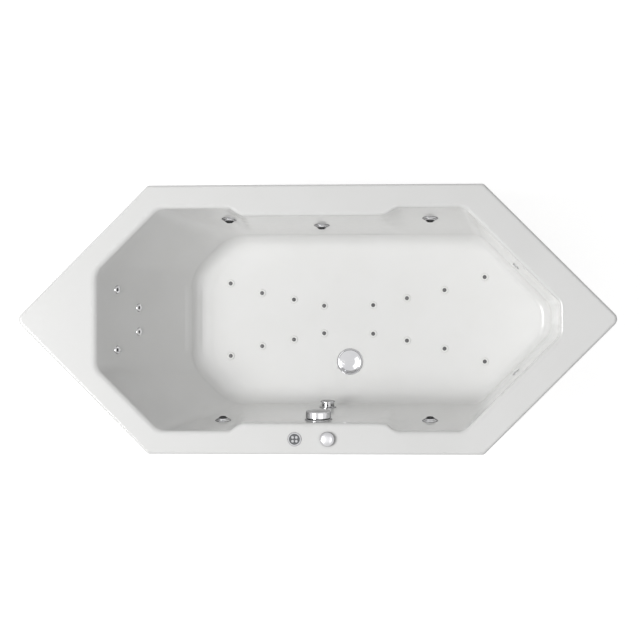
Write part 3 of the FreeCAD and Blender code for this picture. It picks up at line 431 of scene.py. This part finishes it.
def fineGrain():
    group, ins, outs = newGroup("fineGrain", [
        ("Scale", "NodeSocketFloat", 400.0), ("Stretch", "NodeSocketVector", (1.0, 1.0, 1.0)),
        ("Rough Low", "NodeSocketFloat", 0.1), ("Rough High", "NodeSocketFloat", 0.2)],
        [("Roughness", "NodeSocketFloat"), ("Height", "NodeSocketFloat"), ("Mask", "NodeSocketFloat")])
    n, l = group.nodes, group.links
    where = n.new("ShaderNodeTexCoord")
    mapping = n.new("ShaderNodeMapping")
    l.new(where.outputs["Object"], mapping.inputs["Vector"])
    l.new(ins.outputs["Stretch"], mapping.inputs["Scale"])
    noise = n.new("ShaderNodeTexNoise")
    noise.inputs["Detail"].default_value = 4.0
    l.new(mapping.outputs["Vector"], noise.inputs["Vector"])
    l.new(ins.outputs["Scale"], noise.inputs["Scale"])
    wide = n.new("ShaderNodeTexNoise")
    wide.inputs["Scale"].default_value = 7.0
    wide.inputs["Detail"].default_value = 3.0
    l.new(where.outputs["Object"], wide.inputs["Vector"])
    blend = n.new("ShaderNodeMath")
    blend.operation = "MULTIPLY"
    l.new(noise.outputs["Fac"], blend.inputs[0])
    l.new(wide.outputs["Fac"], blend.inputs[1])
    spread = n.new("ShaderNodeMapRange")
    spread.inputs["From Min"].default_value = 0.12
    spread.inputs["From Max"].default_value = 0.42
    l.new(blend.outputs[0], spread.inputs["Value"])
    l.new(ins.outputs["Rough Low"], spread.inputs["To Min"])
    l.new(ins.outputs["Rough High"], spread.inputs["To Max"])
    l.new(spread.outputs["Result"], outs.inputs["Roughness"])
    l.new(noise.outputs["Fac"], outs.inputs["Height"])
    l.new(wide.outputs["Fac"], outs.inputs["Mask"])
    return group


# two tones mixed at random by a noise mask, then painted shade: the colour is multiplied by ambient occlusion, so
# creases, corners and gaps are darkened in the colour itself
def toneAndShade():
    group, ins, outs = newGroup("toneAndShade", [
        ("Color", "NodeSocketColor", (0.8, 0.8, 0.8, 1.0)),
        ("Second", "NodeSocketColor", (0.7, 0.7, 0.7, 1.0)),
        ("Mask", "NodeSocketFloat", 0.5), ("Painted Shade", "NodeSocketFloat", 0.3)],
        [("Color", "NodeSocketColor")])
    n, l = group.nodes, group.links
    ramp = n.new("ShaderNodeMapRange")
    ramp.inputs["From Min"].default_value = 0.35
    ramp.inputs["From Max"].default_value = 0.65
    l.new(ins.outputs["Mask"], ramp.inputs["Value"])
    mix = n.new("ShaderNodeMix")
    mix.data_type = "RGBA"
    l.new(ramp.outputs["Result"], mix.inputs["Factor"])
    l.new(ins.outputs["Color"], mix.inputs["A"])
    l.new(ins.outputs["Second"], mix.inputs["B"])
    # painted shade: ambient occlusion darkens the colour in creases and gaps
    ao = n.new("ShaderNodeAmbientOcclusion")
    ao.inputs["Distance"].default_value = 0.012
    ao.samples = 4
    shadedColor = n.new("ShaderNodeMix")
    shadedColor.data_type = "RGBA"
    shadedColor.blend_type = "MULTIPLY"
    l.new(ins.outputs["Painted Shade"], shadedColor.inputs["Factor"])
    l.new(mix.outputs["Result"], shadedColor.inputs["A"])
    l.new(ao.outputs["Color"], shadedColor.inputs["B"])
    l.new(shadedColor.outputs["Result"], outs.inputs["Color"])
    return group


grainGroup = fineGrain()
toneShadeGroup = toneAndShade()


def makeMaterial(name, look):
    mat = bpy.data.materials.new(name)
    mat.use_nodes = True
    n, l = mat.node_tree.nodes, mat.node_tree.links
    surface = n["Principled BSDF"]
    grain = n.new("ShaderNodeGroup")
    grain.node_tree = grainGroup
    grain.inputs["Scale"].default_value = look["grain"]
    grain.inputs["Stretch"].default_value = look.get("stretch", (1, 1, 1))
    grain.inputs["Rough Low"].default_value = look["rough"][0]
    grain.inputs["Rough High"].default_value = look["rough"][1]
    tone = n.new("ShaderNodeGroup")
    tone.node_tree = toneShadeGroup
    tone.inputs["Color"].default_value = (*look["color"], 1.0)
    tone.inputs["Second"].default_value = (*look["second"], 1.0)
    # strength of the painted shade from ambient occlusion; 0.3 when a look gives none
    tone.inputs["Painted Shade"].default_value = look.get("paintedShade", 0.3)
    l.new(grain.outputs["Mask"], tone.inputs["Mask"])
    l.new(tone.outputs["Color"], surface.inputs["Base Color"])
    l.new(grain.outputs["Roughness"], surface.inputs["Roughness"])
    bump = n.new("ShaderNodeBump")
    bump.inputs["Strength"].default_value = look["bump"]
    bump.inputs["Distance"].default_value = look.get("depth", 0.0002)
    l.new(grain.outputs["Height"], bump.inputs["Height"])
    l.new(bump.outputs["Normal"], surface.inputs["Normal"])
    if "edge" in look:
        # painted reflection: polished metal's colour is blackened where it turns away from the eye, a painted band
        # standing in for the dim surroundings it would reflect
        facing = n.new("ShaderNodeLayerWeight")
        facing.inputs["Blend"].default_value = 0.5
        turned = n.new("ShaderNodeMapRange")
        turned.interpolation_type = "SMOOTHSTEP"
        turned.inputs["From Min"].default_value = look["edge"][0]
        turned.inputs["From Max"].default_value = look["edge"][1]
        l.new(facing.outputs["Facing"], turned.inputs["Value"])
        paintedRimReflection = n.new("ShaderNodeMix")
        paintedRimReflection.data_type = "RGBA"
        paintedRimReflection.inputs["B"].default_value = (*look["edgeColor"], 1.0)
        l.new(turned.outputs["Result"], paintedRimReflection.inputs["Factor"])
        l.new(tone.outputs["Color"], paintedRimReflection.inputs["A"])
        l.new(paintedRimReflection.outputs["Result"], surface.inputs["Base Color"])
    surface.inputs["Metallic"].default_value = look.get("metal", 0.0)
    surface.inputs["IOR"].default_value = 1.5
    surface.inputs["Coat Weight"].default_value = look.get("coat", 0.0)
    surface.inputs["Coat Roughness"].default_value = look.get("coatRough", 0.05)
    return mat


# each look's shade strength sets how much painted shade from ambient occlusion darkens its creases and gaps
looks = {
    "acrylic": {"color": (0.80, 0.80, 0.793), "second": (0.785, 0.785, 0.775), "grain": 60.0,
                "rough": (0.14, 0.21), "bump": 0.02, "coat": 0.35, "coatRough": 0.07, "paintedShade": 0.25},
    "backing": {"color": (0.60, 0.575, 0.52), "second": (0.50, 0.475, 0.42), "grain": 190.0,
                "rough": (0.55, 0.8), "bump": 0.6, "depth": 0.0012, "paintedShade": 0.5},
    # chrome and satin carry a painted reflection: their colour turns blacker where they face away from the eye
    "chrome": {"color": (0.78, 0.78, 0.79), "second": (0.70, 0.70, 0.72), "grain": 500.0,
               "rough": (0.04, 0.12), "bump": 0.03, "metal": 1.0, "paintedShade": 0.9,
               "edge": (0.35, 0.8), "edgeColor": (0.06, 0.06, 0.065)},
    "satin": {"color": (0.72, 0.72, 0.73), "second": (0.66, 0.66, 0.68), "grain": 600.0,
              "rough": (0.24, 0.34), "bump": 0.05, "metal": 1.0, "paintedShade": 0.7,
              "edge": (0.45, 0.9), "edgeColor": (0.12, 0.12, 0.125)},
    "keypad_body": {"color": (0.16, 0.165, 0.17), "second": (0.12, 0.125, 0.13), "grain": 800.0,
                    "rough": (0.2, 0.35), "bump": 0.08, "metal": 0.6, "paintedShade": 0.6},
    "valve": {"color": (0.10, 0.10, 0.102), "second": (0.14, 0.14, 0.142), "grain": 900.0,
              "rough": (0.25, 0.4), "bump": 0.08},
    "fan_cover": {"color": (0.03, 0.032, 0.035), "second": (0.045, 0.047, 0.05), "grain": 700.0,
                  "rough": (0.35, 0.55), "bump": 0.15, "paintedShade": 0.6},
    "dark_plastic": {"color": (0.02, 0.02, 0.022), "second": (0.035, 0.035, 0.038), "grain": 900.0,
                     "rough": (0.25, 0.45), "bump": 0.1},
    "white_plastic": {"color": (0.80, 0.80, 0.79), "second": (0.76, 0.76, 0.745), "grain": 700.0,
                      "rough": (0.2, 0.38), "bump": 0.06, "paintedShade": 0.5},
    "grey_plastic": {"color": (0.22, 0.225, 0.235), "second": (0.17, 0.175, 0.18), "grain": 800.0,
                     "rough": (0.35, 0.6), "bump": 0.12, "paintedShade": 0.6},
    "clear_hose": {"color": (0.66, 0.69, 0.69), "second": (0.58, 0.62, 0.61), "grain": 500.0,
                   "rough": (0.18, 0.32), "bump": 0.05},
    "rubber": {"color": (0.025, 0.025, 0.026), "second": (0.045, 0.043, 0.04), "grain": 900.0,
               "rough": (0.6, 0.85), "bump": 0.25, "paintedShade": 0.6},
    "steel": {"color": (0.52, 0.53, 0.545), "second": (0.38, 0.39, 0.40), "grain": 260.0,
              "stretch": (1, 1, 0.3), "rough": (0.28, 0.5), "bump": 0.12, "metal": 0.9, "paintedShade": 0.6},
    "board": {"color": (0.42, 0.31, 0.19), "second": (0.33, 0.235, 0.135), "grain": 320.0,
              "stretch": (0.3, 1, 1), "rough": (0.5, 0.75), "bump": 0.35, "depth": 0.0006, "paintedShade": 0.5},
    "motor_paint": {"color": (0.05, 0.085, 0.13), "second": (0.035, 0.06, 0.095), "grain": 420.0,
                    "rough": (0.3, 0.5), "bump": 0.2, "paintedShade": 0.6},
}
materials = {name: makeMaterial(name, look) for name, look in looks.items()}
for place, name in enumerate(("acrylic", "backing")):
    shell.data.materials[place] = materials[name]
slotOfNode = {row["node"]: row["material_slot"] for row in frame["record"]["subparts"]}
# pieces whose look differs from the rest of their slot
ownLook = {"air_jet_valves": "valve", "pump_fan_cover": "fan_cover", "base_board": "board",
           "keypad_body": "keypad_body", "regulator_knob": "satin", "regulator_base": "satin"}
for nodeName, obj in frame["nodes"].items():
    obj.data.materials.clear()
    obj.data.materials.append(materials[ownLook.get(nodeName, slotOfNode[nodeName])])
for piece, look in dressed:
    piece.data.materials.append(materials[look])
print("materials set")

# floor, light and world
stageSetup = {"floorSize": 14.0, "floorTone": 0.60, "glow": 0.80, "worldTone": 0.26, "mirrorTone": 0.9,
              "keyPower": 306.0, "keySize": 3.0, "keyPlace": (-3.7, -0.8, 5.9),
              "fillPower": 32.0, "fillSize": 4.0, "fillPlace": (2.2, -0.8, 5.4)}


def makeStage(setup):
    half = setup["floorSize"] / 2
    mesh = bpy.data.meshes.new("studioFloor")
    corners = [(-half, -half, 0), (half, -half, 0), (half, half, 0), (-half, half, 0)]
    mesh.from_pydata(corners, [], [(0, 1, 2, 3)])
    floor = bpy.data.objects.new("studioFloor", mesh)
    bpy.context.collection.objects.link(floor)
    mat = bpy.data.materials.new("studioFloor")
    mat.use_nodes = True
    n, l = mat.node_tree.nodes, mat.node_tree.links
    surface = n["Principled BSDF"]
    tone = setup["floorTone"]
    surface.inputs["Base Color"].default_value = (tone, tone, tone, 1)
    surface.inputs["Roughness"].default_value = 0.9
    surface.inputs["Emission Color"].default_value = (1, 1, 1, 1)
    path = n.new("ShaderNodeLightPath")
    either = n.new("ShaderNodeMath")
    either.operation = "MAXIMUM"
    l.new(path.outputs["Is Camera Ray"], either.inputs[0])
    l.new(path.outputs["Is Glossy Ray"], either.inputs[1])
    glow = n.new("ShaderNodeMath")
    glow.operation = "MULTIPLY"
    glow.inputs[1].default_value = setup["glow"]
    l.new(either.outputs[0], glow.inputs[0])
    l.new(glow.outputs[0], surface.inputs["Emission Strength"])
    floor.data.materials.append(mat)


def makeArea(name, power, size, place, aim=(0, 0, 0.3)):
    data = bpy.data.lights.new(name, "AREA")
    data.energy = power
    data.size = size
    data.shape = "DISK"
    lamp = bpy.data.objects.new(name, data)
    bpy.context.collection.objects.link(lamp)
    lamp.location = place
    lamp.rotation_euler = (Vector(place) - Vector(aim)).to_track_quat("Z", "Y").to_euler()


def makeWorld(setup):
    world = bpy.data.worlds.new("studio")
    bpy.context.scene.world = world
    world.use_nodes = True
    n, l = world.node_tree.nodes, world.node_tree.links
    back = n["Background"]
    path = n.new("ShaderNodeLightPath")
    mirror = n.new("ShaderNodeMapRange")
    mirror.inputs["To Min"].default_value = setup["worldTone"]
    mirror.inputs["To Max"].default_value = setup["mirrorTone"]
    l.new(path.outputs["Is Glossy Ray"], mirror.inputs["Value"])
    seen = n.new("ShaderNodeMath")
    seen.operation = "MAXIMUM"
    l.new(path.outputs["Is Camera Ray"], seen.inputs[0])
    l.new(mirror.outputs["Result"], seen.inputs[1])
    back.inputs["Color"].default_value = (1, 1, 1, 1)
    l.new(seen.outputs[0], back.inputs["Strength"])


makeStage(stageSetup)
makeArea("keyLight", stageSetup["keyPower"], stageSetup["keySize"], stageSetup["keyPlace"])
makeArea("fillLight", stageSetup["fillPower"], stageSetup["fillSize"], stageSetup["fillPlace"])
makeWorld(stageSetup)
bpy.context.scene.view_settings.view_transform = "Standard"
print("stage and light set")
